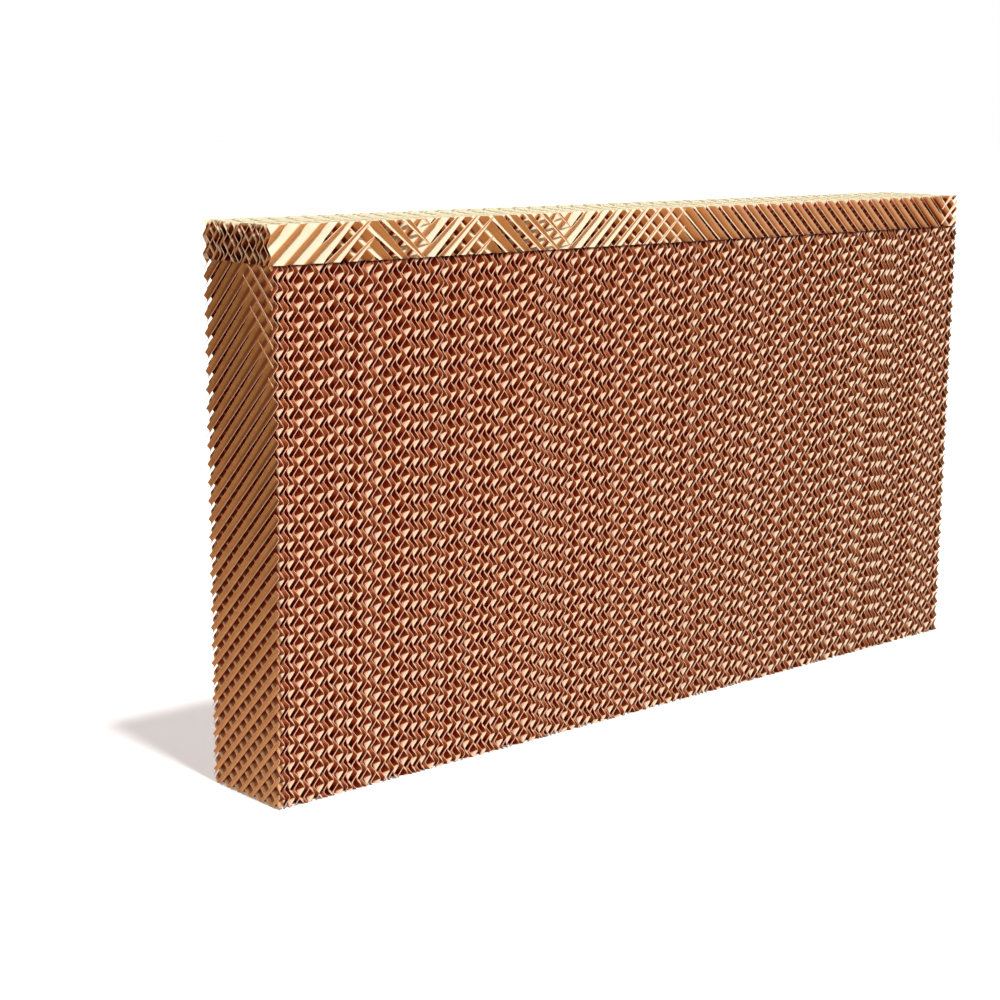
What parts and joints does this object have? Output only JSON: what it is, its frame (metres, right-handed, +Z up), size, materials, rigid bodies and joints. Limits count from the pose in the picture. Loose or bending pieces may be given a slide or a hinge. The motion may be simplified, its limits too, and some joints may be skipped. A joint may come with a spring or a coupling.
{
  "type": "evaporative cooling pad",
  "caption": "block of cross-fluted kraft paper sheets on its long edge, with a low distribution pad of fluted sheets along its top, for the wet wall of a greenhouse or livestock house",
  "frame": {"origin": "middle of the pad's base, on the floor", "axes": "+X along the pad, which is its longest side; +Y from the front face to the back face, which is its shortest side; +Z up"},
  "size_m": [1.4, 0.15, 0.75],
  "materials": {
    "main_pad_paper": "stiffened kraft paper, matt, with pale cut edges",
    "distribution_pad_paper": "stiffened kraft paper, matt, paler than the main pad"
  },
  "bodies": {
    "root": {"main_pad_core": "main_pad_paper", "main_pad_rising_sheets": "main_pad_paper", "main_pad_falling_sheets": "main_pad_paper", "distribution_pad_rising_sheets": "distribution_pad_paper", "distribution_pad_falling_sheets": "distribution_pad_paper"}
  },
  "joints": []
}
